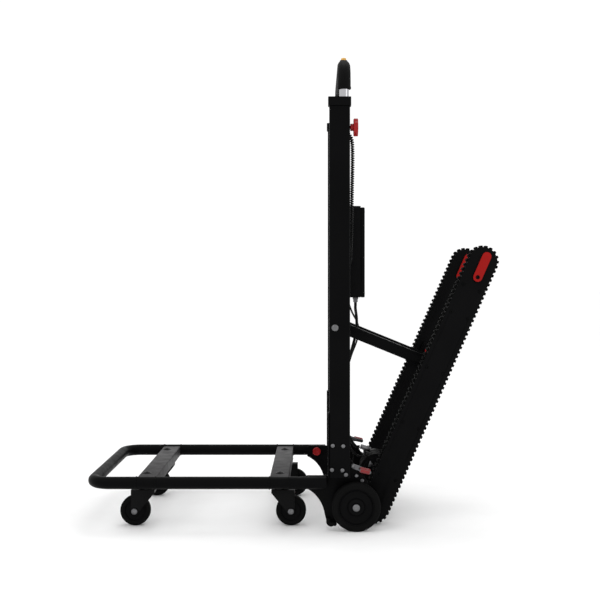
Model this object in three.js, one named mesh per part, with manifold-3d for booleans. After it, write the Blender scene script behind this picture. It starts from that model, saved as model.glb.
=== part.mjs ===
// A powered, tracked stair-climbing carrier: two upright posts with a telescoping handle, a folding
// load platform on swivel casters, two carrying wheels, and a pair of driven rubber tracks that
// lean back on a strut. Millimetres, +Z up, +X towards the tracks. Inside the model X is counted
// from the carrying wheels' axle and Z from the floor; the last lines put the origin at the centre
// of the footprint. "near" is the -Y side and "far" the +Y side.
import * as THREE from 'three';
import { mergeVertices } from 'three/addons/utils/BufferGeometryUtils.js';
import Module from 'manifold-3d';

const wasm = await Module();
wasm.setup();

const rad = THREE.MathUtils.degToRad;
const near = -1;
const far = 1;

// ---------------------------------------------------------------- driving dimensions
const gap = 0.3; // between faces that touch
const runGap = 0.5; // round a shaft that turns or slides

const postDepth = 54;
const postWidth = 30;
const postWall = 2;
const postRear = -16; // X of the posts' rear face
const wheelRoom = 14; // from the wheels' top to the posts' foot
const postTop = 1105;
const capDepth = 60;
const capWidth = 34;
const capHeight = 22.6;

const plateOuter = 223.7; // |Y| of the side plates' outer face
const plateThick = 5;
const plateTop = 307;
const flangeThick = 3;

const wheelRadius = 63.5;
const wheelWidth = 30;
const wheelInner = 226; // |Y| of the carrying wheel's inner face
const wheelBolt = 8; // radius of the wheel's shoulder bolt
const wheelBoltHead = 5.9;

const tubeRadius = 16;
const tubeWall = 2.5;
const casterRoom = 45; // from the caster wheels' top to the platform tube's centre line
const tubeBend = 48;
const platformReach = 707; // wheel axle to the platform's front edge
const tubeRearEnd = -80;
const foldX = -104; // X of the platform's fold axis
const foldPin = 6;
const barWidth = 50;
const barHeight = 30;
const barWall = 2.5;
const barBelowTube = 3; // the bars' top lies this much under the tube's top
const frontBarX = -547;
const rearBarX = -200.5;

const casterY = 176;
const casterFrontX = -555;
const casterRearX = -201;
const casterTrail = 30;
const casterRadius = 40;
const casterWidth = 26;
const casterAxle = 5;

const handleRadius = 12.5;
const handleWall = 2;
const handleBend = 60;
const handleRise = 91.1; // post caps to the handle crossbar's centre line, pushed home
const handleInsert = 350; // length of a leg inside its post
const gripRadius = 17;
const bendSteps = 5; // straight steps in each bend, for the tube and its grip alike
const gripClear = 1; // between the grip and the tube inside it
const gripBelowBend = 10; // how far the grip runs down each leg
const buttonY = -172;
const buttonRadius = 7;
const buttonTravel = 3;
const buttonProud = 8; // above the grip

const knobDrop = 55; // below the post's top
const knobRadius = 23.5;
const knobThick = 12;
const knobStem = 4;

const curlyRadius = 5.5; // of the curly lead's coils

const boxHalf = 95;
const boxBottom = 603;
const boxTop = 855;
const boxRear = 18;
const boxWall = 3;
const lidThick = 10.7;
const lidDrop = 4; // the lid ends this much below the box top
const railDepth = 26;
const railFront = -56;

const shaftX = 50; // drive shaft, which the tracks also fold about
const shaftZ = 46;
const shaftRadius = 10;
const trackLean = rad(23.85); // from upright, towards the rear
const trackLength = 717; // between pulley centres
const trackCentre = 165; // |Y|
const trackWidth = 40;
const trackOuter = 42.5; // pulley centre to the lugs' tips
const beltThick = 8.5; // belt and lugs together
const frameRadius = 37.5;
const frameThick = 3.7;
const idlerAxle = 8;
const linkBolt = 5;
const linkBelowHead = 45; // link's bolt to the head pulley's centre
const linkLength = 60;
const linkRadius = 12;
const linkThick = 4;
const linkAcross = 3; // off the track's centre line, to the rear
const carriageThick = 10;

const strutX = -55;
const strutZ = 529;
const strutTilt = rad(22.1); // below level, towards the rear
const strutLength = 289;
const strutHeight = 30;
const strutInner = 72; // |Y| of a bar's inner face
const strutOuter = 98;
const strutShaft = 8;
const lockAlong = 22; // strut's end to its lock knob

const motorX = 62;
const motorZ = 128;
const motorRadius = 46;
const gearboxHalf = 25;
const glandLength = 29;
const glandTilt = rad(17.4); // down to the rear

const pedalX = -8;
const pedalRoom = 39; // from the wheels' top to the pedals' pivot

// ---------------------------------------------------------------- sizes that follow from those
const plateInner = plateOuter - plateThick;
const postInner = plateOuter + gap;
const postY = postInner + postWidth / 2;
const postFront = postRear - postDepth;
const postBottom = 2 * wheelRadius + wheelRoom;
const pedalZ = 2 * wheelRadius + pedalRoom;
const tubeHeight = 2 * casterRadius + casterRoom; // Z of the platform tube's centre line
const handleTop = postTop + gap + capHeight + handleRise; // Z of the crossbar's centre line
const knobHeight = postTop - knobDrop;
const linkStart = trackLength - linkBelowHead;
const strutEndX = strutX + strutLength * Math.cos(strutTilt);
const strutEndZ = strutZ - strutLength * Math.sin(strutTilt);
// From the drive shaft to the strut's end, along the track.
const carriageAlong = (strutEndX - shaftX) * Math.sin(trackLean) + (strutEndZ - shaftZ) * Math.cos(trackLean);
const tubeY = plateOuter + gap + tubeRadius;
const handleX = postRear - postWall - runGap - handleRadius;
const barTop = tubeHeight + tubeRadius - barBelowTube;
const boxFront = railFront + railDepth + gap;
const trackInnerFace = trackCentre - trackWidth / 2;
const trackOuterFace = trackCentre + trackWidth / 2;
const pulleyRadius = trackOuter - beltThick - gap;
const carriageInner = trackInnerFace - gap - carriageThick;

// ---------------------------------------------------------------- finishes
const finish = (color, roughness, metalness = 0) =>
  new THREE.MeshStandardMaterial({ color, roughness, metalness });
const finishes = {
  black: () => finish(0x0b0b0c, 0.5, 0.1),
  grey: () => finish(0x464446, 0.55, 0.2),
  plastic: () => finish(0x111113, 0.6),
  rubber: () => finish(0x0a0a0a, 0.85),
  red: () => finish(0xd3121b, 0.4),
  chrome: () => finish(0xd8d8da, 0.15, 1),
  steel: () => finish(0x8f9092, 0.35, 1),
  brass: () => finish(0xc79a4a, 0.35, 1),
};

// ---------------------------------------------------------------- solids
function merged(geometry) {
  const bare = geometry.clone();
  bare.deleteAttribute('normal');
  bare.deleteAttribute('uv');
  return mergeVertices(bare, 1e-4);
}

// Turns the faces round where a geometry's own order leaves them facing in.
function facingOut(geometry) {
  const p = geometry.attributes.position;
  const index = geometry.index;
  const [a, b, c] = [new THREE.Vector3(), new THREE.Vector3(), new THREE.Vector3()];
  let volume = 0;
  for (let i = 0; i < index.count; i += 3) {
    a.fromBufferAttribute(p, index.getX(i));
    b.fromBufferAttribute(p, index.getX(i + 1));
    c.fromBufferAttribute(p, index.getX(i + 2));
    volume += a.dot(b.cross(c));
  }
  if (volume < 0) {
    for (let i = 0; i < index.count; i += 3) {
      const first = index.getX(i);
      index.setX(i, index.getX(i + 1));
      index.setX(i + 1, first);
    }
  }
  return geometry;
}

function toSolid(geometry) {
  const whole = facingOut(merged(geometry));
  return new wasm.Manifold(new wasm.Mesh({
    numProp: 3,
    vertProperties: new Float32Array(whole.attributes.position.array),
    triVerts: new Uint32Array(whole.index.array),
  }));
}

function toGeometry(solid) {
  const mesh = solid.getMesh();
  const geometry = new THREE.BufferGeometry();
  geometry.setAttribute('position', new THREE.BufferAttribute(mesh.vertProperties, 3));
  geometry.setIndex(new THREE.BufferAttribute(mesh.triVerts, 1));
  return geometry;
}

function join(first, ...others) {
  let solid = toSolid(first);
  for (const other of others) solid = solid.add(toSolid(other));
  return toGeometry(solid);
}

function cut(base, ...tools) {
  let solid = toSolid(base);
  for (const tool of tools) solid = solid.subtract(toSolid(tool));
  return toGeometry(solid);
}

// Cylinders along each axis, between two coordinates on it.
function rodX(radius, x0, x1, y, z, sides = 16) {
  const rod = new THREE.CylinderGeometry(radius, radius, Math.abs(x1 - x0), sides);
  return rod.rotateZ(Math.PI / 2).translate((x0 + x1) / 2, y, z);
}

function rodY(radius, y0, y1, x, z, sides = 16) {
  const rod = new THREE.CylinderGeometry(radius, radius, Math.abs(y1 - y0), sides);
  return rod.translate(x, (y0 + y1) / 2, z);
}

function rodZ(radius, z0, z1, x, y, sides = 16) {
  const rod = new THREE.CylinderGeometry(radius, radius, Math.abs(z1 - z0), sides);
  return rod.rotateX(Math.PI / 2).translate(x, y, (z0 + z1) / 2);
}

function block([x0, x1], [y0, y1], [z0, z1]) {
  const [dx, dy, dz] = [x1 - x0, y1 - y0, z1 - z0].map(Math.abs);
  const box = new THREE.BoxGeometry(dx, dy, dz);
  return box.translate((x0 + x1) / 2, (y0 + y1) / 2, (z0 + z1) / 2);
}

// An outline drawn in X and Z, given its thickness along Y.
function plateXZ(shape, y0, y1, curveSegments = 5) {
  const depth = Math.abs(y1 - y0);
  const plate = new THREE.ExtrudeGeometry(shape, { depth, bevelEnabled: false, curveSegments });
  return plate.rotateX(Math.PI / 2).translate(0, Math.max(y0, y1), 0);
}

// An outline drawn in Y and Z, given its thickness along X.
function plateYZ(shape, x0, x1, curveSegments = 6) {
  const depth = x1 - x0;
  const plate = new THREE.ExtrudeGeometry(shape, { depth, bevelEnabled: false, curveSegments });
  const turn = new THREE.Matrix4().makeBasis(
    new THREE.Vector3(0, 1, 0), new THREE.Vector3(0, 0, 1), new THREE.Vector3(1, 0, 0));
  return plate.applyMatrix4(turn).translate(x0, 0, 0);
}

function roundedRect(x0, x1, y0, y1, r, Kind = THREE.Shape) {
  const outline = new Kind();
  outline.absarc(x1 - r, y1 - r, r, 0, rad(90));
  outline.absarc(x0 + r, y1 - r, r, rad(90), rad(180));
  outline.absarc(x0 + r, y0 + r, r, rad(180), rad(270));
  outline.absarc(x1 - r, y0 + r, r, rad(270), rad(360));
  outline.closePath();
  return outline;
}

// A bar with round ends, from one centre to another.
function roundEnded([ax, az], [bx, bz], ra, rb = ra, Kind = THREE.Shape) {
  const along = Math.atan2(bz - az, bx - ax);
  const outline = new Kind();
  outline.absarc(bx, bz, rb, along - rad(90), along + rad(90));
  outline.absarc(ax, az, ra, along + rad(90), along + rad(270));
  outline.closePath();
  return outline;
}

// A solid of revolution about the Y axis, from a closed profile of [radius, y] corners.
function turned(profile, x, y, z, sides = 24) {
  const corners = [...profile, profile[0]].map(([r, h]) => new THREE.Vector2(r, h));
  return new THREE.LatheGeometry(corners, sides).translate(x, y, z);
}

// A line through stations, which a tube follows with one step between each two.
class Run extends THREE.Curve {
  constructor(stations) {
    super();
    this.stations = stations;
  }

  getUtoTmapping(u) {
    return u;
  }

  getPoint(t, target = new THREE.Vector3()) {
    const place = THREE.MathUtils.clamp(t, 0, 1) * (this.stations.length - 1);
    const i = Math.min(Math.floor(place), this.stations.length - 2);
    return target.lerpVectors(this.stations[i], this.stations[i + 1], place - i);
  }
}

// A round pipe through stations. With a wall it is open at both ends.
function pipe(stations, radius, wall = 0, sides = 14) {
  const section = new THREE.Shape().absarc(0, 0, radius, 0, 2 * Math.PI);
  if (wall) section.holes.push(new THREE.Path().absarc(0, 0, radius - wall, 0, 2 * Math.PI));
  return new THREE.ExtrudeGeometry(section, {
    steps: stations.length - 1, extrudePath: new Run(stations), curveSegments: sides / 2,
  });
}

// Points on an arc. place() turns two plane coordinates into a point.
function arc(place, ca, cb, radius, from, to, steps) {
  return Array.from({ length: steps + 1 }, (_, i) => {
    const angle = from + ((to - from) * i) / steps;
    return place(ca + radius * Math.cos(angle), cb + radius * Math.sin(angle));
  });
}

// A cable or lead along points chosen by hand.
function lead(points, radius, steps, sides = 8) {
  const line = new THREE.CatmullRomCurve3(points.map((p) => new THREE.Vector3(...p)));
  const section = new THREE.Shape().absarc(0, 0, radius, 0, 2 * Math.PI);
  return new THREE.ExtrudeGeometry(section, { steps, extrudePath: line, curveSegments: sides / 2 });
}

function part(parent, name, geometry, material) {
  const mesh = new THREE.Mesh(facingOut(merged(geometry)), material);
  mesh.name = name;
  parent.add(mesh);
}

const sided = (side) => (side === near ? 'near' : 'far');
const span = (side, a, b) => [Math.min(side * a, side * b), Math.max(side * a, side * b)];

// ---------------------------------------------------------------- posts and side plates
function addPost(parent, side) {
  const y = side * postY;
  const section = roundedRect(postFront, postRear, y - postWidth / 2, y + postWidth / 2, 4);
  section.holes.push(roundedRect(
    postFront + postWall, postRear - postWall,
    y - postWidth / 2 + postWall, y + postWidth / 2 - postWall, 2, THREE.Path));
  const tube = new THREE.ExtrudeGeometry(section, {
    depth: postTop - postBottom, bevelEnabled: false, curveSegments: 3,
  }).translate(0, 0, postBottom);
  const holes = [rodY(strutShaft + gap, y - postWidth, y + postWidth, strutX, strutZ)];
  if (side === near) holes.push(rodX(knobStem + runGap, postRear - 5, postRear + 5, y, knobHeight, 12));
  part(parent, `post_${sided(side)}`, cut(tube, ...holes), finishes.black());

  const centre = (postFront + postRear) / 2;
  const cap = new THREE.ExtrudeGeometry(
    roundedRect(centre - capDepth / 2, centre + capDepth / 2, y - capWidth / 2, y + capWidth / 2, 5),
    { depth: capHeight, bevelEnabled: false, curveSegments: 4 },
  ).translate(0, 0, postTop + gap);
  const bore = rodZ(handleRadius + runGap, postTop - 5, postTop + capHeight + 5, handleX, y, 28);
  part(parent, `post_cap_${sided(side)}`, cut(cap, bore), finishes.plastic());
}

function sidePlateOutline() {
  const outline = new THREE.Shape();
  const front = postFront - gap - flangeThick;
  const gussetTop = tubeHeight + tubeRadius;
  outline.moveTo(front, plateTop);
  outline.lineTo(front, gussetTop);
  outline.lineTo(foldX - 22, gussetTop);
  outline.absarc(foldX - 22, gussetTop - 7, 7, rad(90), rad(180));
  outline.absarc(-169, 29, 87.7, rad(65.8), rad(8.5), true); // cleared for the rear caster
  outline.lineTo(-78, 26);
  outline.absarc(-65, 20, 13, rad(180), rad(300)); // toe
  outline.lineTo(-48, 18);
  outline.absarc(shaftX, shaftZ, 14, rad(-110), rad(30)); // drive shaft boss
  outline.lineTo(26, pedalZ - 34);
  outline.lineTo(-5, pedalZ + 4); // just above the pedals' pivot
  outline.lineTo(postRear, pedalZ + 20);
  outline.lineTo(postRear, plateTop);
  outline.closePath();
  return outline;
}

function addSidePlate(parent, side) {
  const plate = plateXZ(sidePlateOutline(), ...span(side, plateInner, plateOuter), 6);
  const front = postFront - gap;
  const flange = block(
    [front - flangeThick, front], span(side, plateInner, postInner + postWidth), [postBottom, plateTop]);
  const reach = span(side, plateInner - 5, plateOuter + 1);
  part(parent, `side_plate_${sided(side)}`, cut(
    join(plate, flange),
    rodY(foldPin + gap, ...reach, foldX, tubeHeight),
    rodY(wheelBolt + gap, ...reach, 0, wheelRadius),
    rodY(shaftRadius + runGap, ...reach, shaftX, shaftZ),
  ), finishes.black());
}

// ---------------------------------------------------------------- carrying wheels and brakes
function addWheel(parent, side) {
  const half = wheelWidth / 2;
  const bore = wheelBolt + runGap;
  const rim = 0.74 * wheelRadius;
  const profile = [
    [bore, 5 - half], [rim - 2, 5 - half],
    [rim, -half], [wheelRadius - 5, -half], [wheelRadius, 6 - half],
    [wheelRadius, half - 6], [wheelRadius - 5, half], [rim, half],
    [rim - 2, half - 5], [bore, half - 5],
  ];
  const wheel = turned(profile, 0, side * (wheelInner + half), wheelRadius);
  part(parent, `main_wheel_${sided(side)}`, wheel, finishes.rubber());

  const headFrom = wheelInner + wheelWidth + 0.6;
  part(parent, `wheel_bolt_${sided(side)}`, join(
    rodY(wheelBolt, ...span(side, plateInner - 9, headFrom + 2), 0, wheelRadius),
    rodY(wheelBolt + 1.5, ...span(side, headFrom, headFrom + wheelBoltHead), 0, wheelRadius),
    rodY(wheelBolt + 4, ...span(side, plateInner - 9, plateInner - gap), 0, wheelRadius, 6),
  ), finishes.chrome());
}

function addBrakePedal(parent, side) {
  const elbow = [pedalX + 20, pedalZ - 7];
  const toe = [pedalX + 42, pedalZ - 12];
  const inner = plateOuter + 0.7;
  part(parent, `brake_pedal_${sided(side)}`, join(
    plateXZ(roundEnded([pedalX, pedalZ], elbow, 6), ...span(side, inner, inner + 4.5)),
    plateXZ(roundEnded(elbow, toe, 4.5), ...span(side, inner, inner + 26)),
  ), finishes.steel());
}

// ---------------------------------------------------------------- control box and cables
function addControlBox(parent) {
  const between = [-plateInner + gap, plateInner - gap];
  const railRear = railFront + railDepth;
  const posts = [-postInner + gap, postInner - gap];
  part(parent, 'box_mount', join(
    block([railFront, railRear], posts, [boxBottom + 37, boxBottom + 62]),
    block([railFront, railRear], posts, [boxTop - 65, boxTop - 40]),
    block([railRear - 4, railRear], [-60, 60], [boxBottom + 37, boxTop - 40]),
  ), finishes.black());
  part(parent, 'lower_crossbar', block([railFront, railRear], between, [262, 292]), finishes.black());

  const outside = plateYZ(roundedRect(-boxHalf, boxHalf, boxBottom, boxTop, 8), boxFront, boxRear, 3);
  const inside = plateYZ(
    roundedRect(boxWall - boxHalf, boxHalf - boxWall, boxBottom + boxWall, boxTop - boxWall, 6),
    boxFront + boxWall, boxRear + 5, 3);
  part(parent, 'control_box', cut(outside, inside), finishes.plastic());
  const lid = roundedRect(-boxHalf, boxHalf, boxBottom, boxTop - lidDrop, 8);
  part(parent, 'control_box_lid',
    plateYZ(lid, boxRear + gap, boxRear + gap + lidThick, 3), finishes.plastic());

  const within = [boxFront + boxWall + gap, boxRear - 6];
  part(parent, 'battery_pack', block(within, [-85, 20], [boxBottom + 8, boxTop - 60]), finishes.grey());
  part(parent, 'control_board', block([0, 2], [30, 85], [boxBottom + 15, boxTop - 60]), finishes.steel());
  part(parent, 'box_gland', join(
    rodZ(9, boxBottom - 6, boxBottom - gap, 5, -45, 6),
    rodZ(6.5, boxBottom - 14, boxBottom - 4, 5, -45, 16),
  ), finishes.plastic());
}

// The curly lead's coils lie inside this tube.
function addLeads(parent) {
  part(parent, 'lead_gland',
    rodY(6, gap - postInner, 17 - postInner, postRear - 10, 1040, 16), finishes.plastic());
  part(parent, 'curly_lead', lead([
    [-26, -206.5, 1040], [-26, -203, 1040], [-18, -201, 1037], [-10, -200, 1022], [-8, -200, 995],
    [-8, -200, 950], [-9, -200, 900], [-10, -200, 850], [-11, -199, 805], [-12, -197, 765],
    [-13, -190, 735], [-13.5, -172, 712], [-14, -145, 700], [-14, -112, 697], [-14, -104, 697],
    [-14, -boxHalf - 0.6, 697],
  ], curlyRadius, 30), finishes.plastic());
  part(parent, 'motor_cable', lead([
    [5, -45, boxBottom - 14 - gap], [5, -45, 580], [5, -45, 570], [8, -46, 545], [8, -47, 515], [1, -49, 480],
    [-10, -51, 440], [-19, -53, 400], [-23, -55, 350], [-23, -57, 300], [-21, -60, 255],
    [-15, -62, 222], [-4, -62, 200], [7, -62, 188], [12, -62, 188], [16.6, -62, 188],
  ], 4, 28), finishes.rubber());
  part(parent, 'sensor_cable', lead([
    [-14, -25, boxBottom - 2 * gap], [-14, -25, 594], [-13, -26, 585], [-4, -30, 560], [9, -34, 535],
    [14, -36, 512], [9, -37, 480], [-6, -37, 440], [-18, -37, 395], [-22, -37, 340], [-22, -34, 285],
    [-21, -26, 240], [-17, -16, 205], [-9, -8, 178], [3, -2, 160], [13, 0, 152], [20, 0, 150],
    [26.4, 0, 150],
  ], 2.5, 30, 6), finishes.rubber());
}

// ---------------------------------------------------------------- drive
function addMotor(parent) {
  const housing = plateXZ(
    roundEnded([shaftX, shaftZ], [motorX, motorZ], 36, 40), -gearboxHalf, gearboxHalf, 10);
  part(parent, 'gearbox_housing',
    cut(housing, rodY(shaftRadius + runGap, -60, 60, shaftX, shaftZ)), finishes.black());
  part(parent, 'motor', join(
    rodY(motorRadius, -94, -gearboxHalf - gap, motorX, motorZ, 28),
    rodY(motorRadius - 8, -100, -90, motorX, motorZ, 28),
  ), finishes.black());
  part(parent, 'motor_gland', join(
    rodX(7, 0, glandLength, 0, 0, 18).rotateY(glandTilt).translate(18.4, -62, 188.6),
    block([26, 34], [-66, -58], [motorZ + 38, 185]),
  ), finishes.chrome());
  part(parent, 'drive_shaft', rodY(shaftRadius, 0.8 - wheelInner, wheelInner - 0.8, shaftX, shaftZ),
    finishes.steel());
}

// ---------------------------------------------------------------- tracks
// A track unit is drawn upright over its drive shaft, in a group that leans.
function addTrack(parent, side) {
  const leaning = new THREE.Group();
  leaning.position.set(shaftX, 0, shaftZ);
  leaning.rotation.y = trackLean;
  parent.add(leaning);
  const name = sided(side);
  const foot = [0, 0];
  const head = [0, trackLength];
  const linkFrom = [linkAcross, linkStart];
  const inFrame = span(side, trackInnerFace + frameThick + gap, trackOuterFace - frameThick - gap);

  const loop = roundEnded(foot, head, trackOuter);
  loop.holes.push(roundEnded(foot, head, trackOuter - beltThick, trackOuter - beltThick, THREE.Path));
  part(leaning, `track_belt_${name}`, plateXZ(loop, ...inFrame, 12), finishes.rubber());

  const outline = () => roundEnded(foot, head, frameRadius);
  const acrossFrame = span(side, trackInnerFace + 1, trackOuterFace - 1);
  const spacers = [190, 510].map((z) => rodY(12, ...acrossFrame, 0, z, 8));
  part(leaning, `track_frame_${name}`, cut(
    join(
      plateXZ(outline(), ...span(side, trackInnerFace, trackInnerFace + frameThick), 8),
      plateXZ(outline(), ...span(side, trackOuterFace - frameThick, trackOuterFace), 8),
      rodY(idlerAxle, ...acrossFrame, 0, trackLength),
      ...spacers,
    ),
    rodY(shaftRadius + runGap, ...span(side, trackInnerFace - 5, trackOuterFace + 5), 0, 0),
    rodY(linkBolt + gap, ...span(side, trackInnerFace - 5, trackOuterFace + 5), ...linkFrom, 16),
  ), finishes.black());

  const pulley = span(side, trackInnerFace + frameThick + 1, trackOuterFace - frameThick - 1);
  part(leaning, `drive_sprocket_${name}`, cut(
    rodY(pulleyRadius, ...pulley, 0, 0, 20),
    rodY(shaftRadius + gap, ...span(side, 60, 230), 0, 0),
  ), finishes.plastic());
  part(leaning, `idler_pulley_${name}`, cut(
    rodY(pulleyRadius, ...pulley, 0, trackLength, 20),
    rodY(idlerAxle + runGap, ...span(side, 60, 230), 0, trackLength),
  ), finishes.plastic());

  const linkShape = () => roundEnded(linkFrom, [linkAcross, linkStart + linkLength], linkRadius);
  part(leaning, `track_link_${name}`, join(
    plateXZ(linkShape(), ...span(side, trackInnerFace - gap - linkThick, trackInnerFace - gap)),
    plateXZ(linkShape(), ...span(side, trackOuterFace + gap, trackOuterFace + gap + linkThick)),
    rodY(linkBolt, ...span(side, trackInnerFace - 2, trackOuterFace + 2), ...linkFrom, 16),
  ), finishes.red());

  part(leaning, `strut_carriage_${name}`, plateXZ(
    roundedRect(-18, 18, carriageAlong - 28, carriageAlong + 42, 5),
    ...span(side, carriageInner, trackInnerFace - gap), 3), finishes.black());
  part(leaning, `strut_lock_knob_${name}`, join(
    rodY(8, ...span(side, carriageInner - 17, carriageInner - 9), 0, carriageAlong + lockAlong, 20),
    rodY(4, ...span(side, carriageInner - 10, carriageInner - gap), 0, carriageAlong + lockAlong, 12),
  ), finishes.red());
}

function addStrut(parent) {
  const shaftEnd = postInner + postWidth;
  part(parent, 'strut_shaft', join(
    rodY(strutShaft, -shaftEnd - 1, shaftEnd + 1, strutX, strutZ),
    rodY(strutShaft + 1.3, -shaftEnd - 4, -shaftEnd - gap, strutX, strutZ),
    rodY(strutShaft + 1.3, shaftEnd + gap, shaftEnd + 4, strutX, strutZ),
  ), finishes.chrome());

  const swung = new THREE.Group();
  swung.position.set(strutX, 0, strutZ);
  swung.rotation.y = strutTilt;
  parent.add(swung);
  const bar = (side) => plateXZ(
    roundEnded([0, 0], [strutLength, 0], strutHeight / 2), ...span(side, strutInner, strutOuter));
  part(swung, 'strut', cut(
    join(bar(near), bar(far), rodY(10, runGap - carriageInner, carriageInner - runGap, strutLength, 0)),
    rodY(strutShaft + runGap, -150, 150, 0, 0),
  ), finishes.black());
}

// ---------------------------------------------------------------- platform and casters
function addPlatform(parent) {
  const front = tubeRadius - platformReach;
  const level = (x, y) => new THREE.Vector3(x, y, tubeHeight);
  const corner = (side, from, to) => arc(
    level, front + tubeBend, side * (tubeY - tubeBend), tubeBend, from, to, 5);
  const line = [
    level(tubeRearEnd, -tubeY),
    ...corner(near, rad(270), rad(180)),
    ...corner(far, rad(180), rad(90)),
    level(tubeRearEnd, tubeY),
  ];
  const pinHole = (side) => rodY(foldPin + gap, ...span(side, plateInner, tubeY), foldX, tubeHeight);
  part(parent, 'platform_tube',
    cut(pipe(line, tubeRadius, tubeWall), pinHole(near), pinHole(far)), finishes.black());

  for (const [name, x] of [['front', frontBarX], ['rear', rearBarX]]) {
    const [x0, x1] = [x - barWidth / 2, x + barWidth / 2];
    const section = roundedRect(x0, x1, barTop - barHeight, barTop, 3);
    section.holes.push(roundedRect(
      x0 + barWall, x1 - barWall, barTop - barHeight + barWall, barTop - barWall, 1, THREE.Path));
    const half = tubeY - tubeRadius - gap;
    part(parent, `platform_crossbar_${name}`, plateXZ(section, -half, half, 3), finishes.grey());
  }
}

function addCaster(parent, name, x, y, trail) {
  const axleX = x + trail;
  const head = casterRadius * 2 + 8;
  const rearward = x + 22 + Math.max(0, 0.6 * trail);
  const forward = x - 22 + Math.min(0, 0.6 * trail);
  const legs = new THREE.Shape();
  legs.moveTo(forward, head + 8);
  legs.lineTo(forward, head);
  legs.absarc(axleX, casterRadius, 10, trail > 0 ? rad(215) : rad(165), trail > 0 ? rad(375) : rad(325));
  legs.lineTo(rearward, head);
  legs.lineTo(rearward, head + 8);
  legs.closePath();
  const leg = casterWidth / 2 + 1.5;
  part(parent, `caster_fork_${name}`, join(
    plateXZ(legs, y - leg - 3, y - leg),
    plateXZ(legs, y + leg, y + leg + 3),
    block([forward, rearward], [y - leg - 3, y + leg + 3], [head, head + 8]),
    rodZ(14, head + 6, head + 13, x, y, 20),
    rodZ(7, head + 10, barTop - barHeight - gap, x, y, 16),
    rodY(casterAxle, y - leg - 5, y + leg + 5, axleX, casterRadius, 16),
    rodY(casterAxle + 3, y - leg - 6, y - leg - 2, axleX, casterRadius, 16),
    rodY(casterAxle + 3, y + leg + 2, y + leg + 6, axleX, casterRadius, 16),
  ), finishes.black());

  const half = casterWidth / 2;
  const bore = casterAxle + runGap;
  part(parent, `caster_wheel_${name}`, turned([
    [bore, -half], [casterRadius - 4, -half], [casterRadius, 4 - half],
    [casterRadius, half - 4], [casterRadius - 4, half], [bore, half],
  ], axleX, y, casterRadius, 18), finishes.rubber());
}

function addReleaseButton(parent, side) {
  part(parent, `release_button_${sided(side)}`, join(
    rodY(12, ...span(side, plateInner - 14, plateInner - 6), foldX, tubeHeight),
    rodY(foldPin, ...span(side, plateInner - 8, tubeY + tubeRadius - tubeWall - 7), foldX, tubeHeight),
  ), finishes.red());
}

// ---------------------------------------------------------------- handle
function addHandle(parent) {
  const upright = (y, z) => new THREE.Vector3(handleX, y, z);
  const bendY = postY - handleBend;
  const bendZ = handleTop - handleBend;
  const bends = [
    ...arc(upright, -bendY, bendZ, handleBend, rad(180), rad(90), bendSteps),
    ...arc(upright, bendY, bendZ, handleBend, rad(90), 0, bendSteps),
  ];
  const foot = postTop + capHeight - handleInsert;
  const tube = pipe(
    [upright(-postY, foot), ...bends, upright(postY, foot)], handleRadius, handleWall);
  part(parent, 'handle_tube', tube, finishes.chrome());

  const gripFoot = bendZ - gripBelowBend;
  const sleeve = pipe(
    [upright(-postY, gripFoot), ...bends, upright(postY, gripFoot)],
    gripRadius, gripRadius - handleRadius - gripClear);
  const pocketFloor = handleTop + handleRadius + gripClear + 0.5;
  const gripTop = handleTop + gripRadius;
  part(parent, 'handle_grip', cut(
    sleeve, rodZ(buttonRadius + runGap, pocketFloor, gripTop + 5, handleX, buttonY)), finishes.rubber());
  part(parent, 'drive_button',
    rodZ(buttonRadius, pocketFloor + buttonTravel + gap, gripTop + buttonProud, handleX, buttonY),
    finishes.brass());
}

// Only the near post has a clamp.
function addClampKnob(parent) {
  const y = near * postY;
  const headFrom = postRear + 9;
  part(parent, 'clamp_knob', join(
    rodX(knobRadius, headFrom, headFrom + knobThick, y, knobHeight, 20),
    rodX(8, postRear + 1, headFrom + 1, y, knobHeight, 12),
    rodX(knobStem, handleX + handleRadius + gap, headFrom + 1, y, knobHeight, 8),
  ), finishes.red());
}

// ---------------------------------------------------------------- the whole
const carrier = new THREE.Group();
for (const side of [near, far]) {
  addPost(carrier, side);
  addSidePlate(carrier, side);
  addWheel(carrier, side);
  addBrakePedal(carrier, side);
  addReleaseButton(carrier, side);
  addTrack(carrier, side);
  for (const [end, x, trail] of [
    ['front', casterFrontX, -casterTrail], ['rear', casterRearX, casterTrail],
  ]) addCaster(carrier, `${end}_${sided(side)}`, x, side * casterY, trail);
}
addControlBox(carrier);
addLeads(carrier);
addMotor(carrier);
addStrut(carrier);
addPlatform(carrier);
addHandle(carrier);
addClampKnob(carrier);

const rearReach = shaftX + trackLength * Math.sin(trackLean) + trackOuter;
carrier.position.x = (platformReach - rearReach) / 2;

const model = new THREE.Group();
model.add(carrier);
export default model;
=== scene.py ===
"""The looks of a powered, tracked stair-climbing carrier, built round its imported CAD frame.

Sizes are in millimetres and turned to metres where a mesh is made. X is counted from the carrying
wheels' axle, Y from the middle and Z from the floor. "near" is the -Y side and "far" the +Y side.
"""
import math

import bpy
from mathutils import Matrix, Vector


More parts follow.
